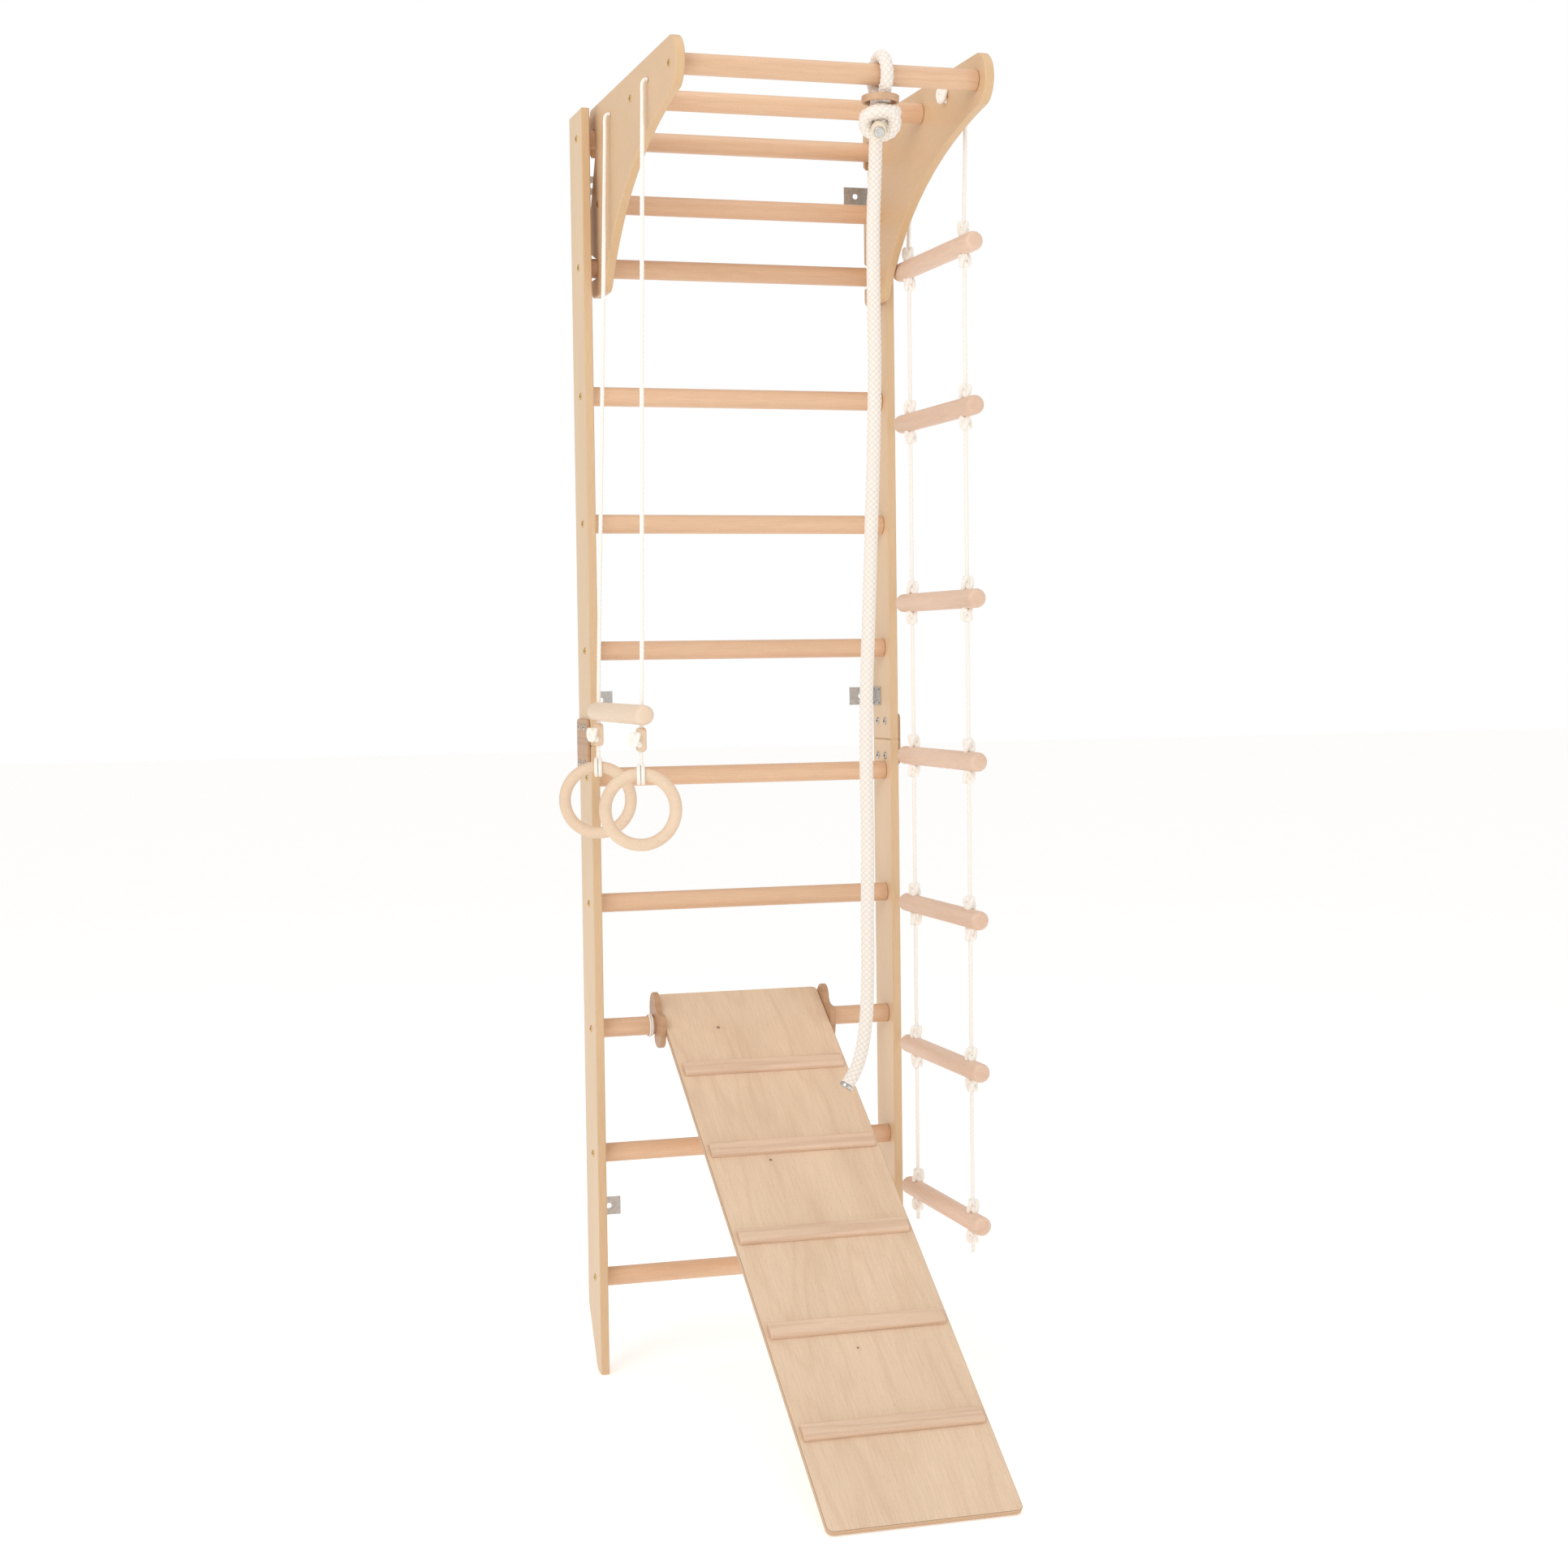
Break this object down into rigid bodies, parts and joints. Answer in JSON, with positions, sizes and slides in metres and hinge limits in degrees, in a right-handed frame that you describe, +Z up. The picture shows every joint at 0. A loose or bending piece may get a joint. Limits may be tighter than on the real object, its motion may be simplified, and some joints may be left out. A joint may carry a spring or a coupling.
{
  "type": "children's wall-bar gym",
  "caption": "Wooden wall bars for a child's room with a hook-on pull-up frame, slide board, climbing rope, trapeze with rings and rope ladder.",
  "frame": {"origin": "on the floor, at the middle of the object's box", "axes": "+Z up; +Y towards the wall behind the gym; +X towards the rope ladder's side"},
  "size_m": [0.6486, 1.01, 2.198],
  "materials": {
    "plywood": "clear satin lacquer on birch plywood",
    "beech": "clear satin lacquer on turned beech",
    "palebeech": "clear satin lacquer on pale turned wood",
    "darkply": "clear lacquer on darker plywood",
    "rope": "braided and twisted ivory cord",
    "sleeve": "smooth cream sleeve",
    "steel": "zinc-plated steel"
  },
  "bodies": {
    "wall_bars": {"upright_left_lower": "plywood", "upright_left_upper": "plywood", "splice_plate_left": "darkply", "wall_bracket_left_top": "steel", "wall_bracket_left_middle": "steel", "wall_bracket_left_bottom": "steel", "upright_right_lower": "plywood", "upright_right_upper": "plywood", "splice_plate_right": "darkply", "wall_bracket_right_top": "steel", "wall_bracket_right_middle": "steel", "wall_bracket_right_bottom": "steel", "wall_rung_1": "beech", "wall_rung_2": "beech", "wall_rung_3": "beech", "wall_rung_4": "beech", "wall_rung_5": "beech", "wall_rung_6": "beech", "wall_rung_7": "beech", "wall_rung_8": "beech", "wall_rung_9": "beech", "wall_rung_10": "beech"},
    "pull_up_frame": {"cheek_left": "plywood", "cheek_right": "plywood", "pull_up_bar_front": "beech", "pull_up_bar_middle": "beech", "pull_up_bar_rear": "beech"},
    "slide": {"slide_board": "plywood", "slide_cleat_1": "beech", "slide_cleat_2": "beech", "slide_cleat_3": "beech", "slide_cleat_4": "beech", "slide_cleat_5": "beech", "slide_hook_left": "darkply", "slide_hook_right": "darkply"},
    "climbing_rope": {"climbing_rope": "rope", "rope_loop": "rope", "rope_stopper_ring": "darkply", "rope_knot": "rope", "rope_tail_sleeve": "sleeve", "rope_tail_ferrule": "steel", "rope_end_ferrule": "steel"},
    "trapeze": {"trapeze_bar": "palebeech", "trapeze_cord_front": "rope", "rope_adjuster_front": "darkply", "ring_front": "palebeech", "trapeze_cord_rear": "rope", "rope_adjuster_rear": "darkply", "ring_rear": "palebeech"},
    "rope_ladder": {"ladder_rung_1": "beech", "ladder_rung_2": "beech", "ladder_rung_3": "beech", "ladder_rung_4": "beech", "ladder_rung_5": "beech", "ladder_rung_6": "beech", "ladder_rung_7": "beech", "ladder_rope_front": "rope", "ladder_rope_rear": "rope"}
  },
  "joints": [
    {"name": "frame_tilt", "type": "hinge", "parent": "wall_bars", "child": "pull_up_frame", "pos_m": [0.03479, 0.44798, 2.144], "axis": [-1, 0, 0], "range_deg": [0, 25]},
    {"name": "slide_lift", "type": "hinge", "parent": "wall_bars", "child": "slide", "pos_m": [0.01829, 0.44798, 0.604], "axis": [-1, 0, 0], "range_deg": [0, 22]},
    {"name": "rope_swing", "type": "hinge", "parent": "pull_up_frame", "child": "climbing_rope", "pos_m": [0.11529, -0.08502, 2.156], "axis": [-1, 0, 0], "range_deg": [-15, 45]},
    {"name": "trapeze_swing", "type": "hinge", "parent": "pull_up_frame", "child": "trapeze", "pos_m": [-0.22501, 0.17998, 2.16], "axis": [0, 1, 0], "range_deg": [0, 40]},
    {"name": "ladder_swing", "type": "hinge", "parent": "pull_up_frame", "child": "rope_ladder", "pos_m": [0.29059, 0.19498, 2.16], "axis": [0, -1, 0], "range_deg": [0, 40]}
  ]
}
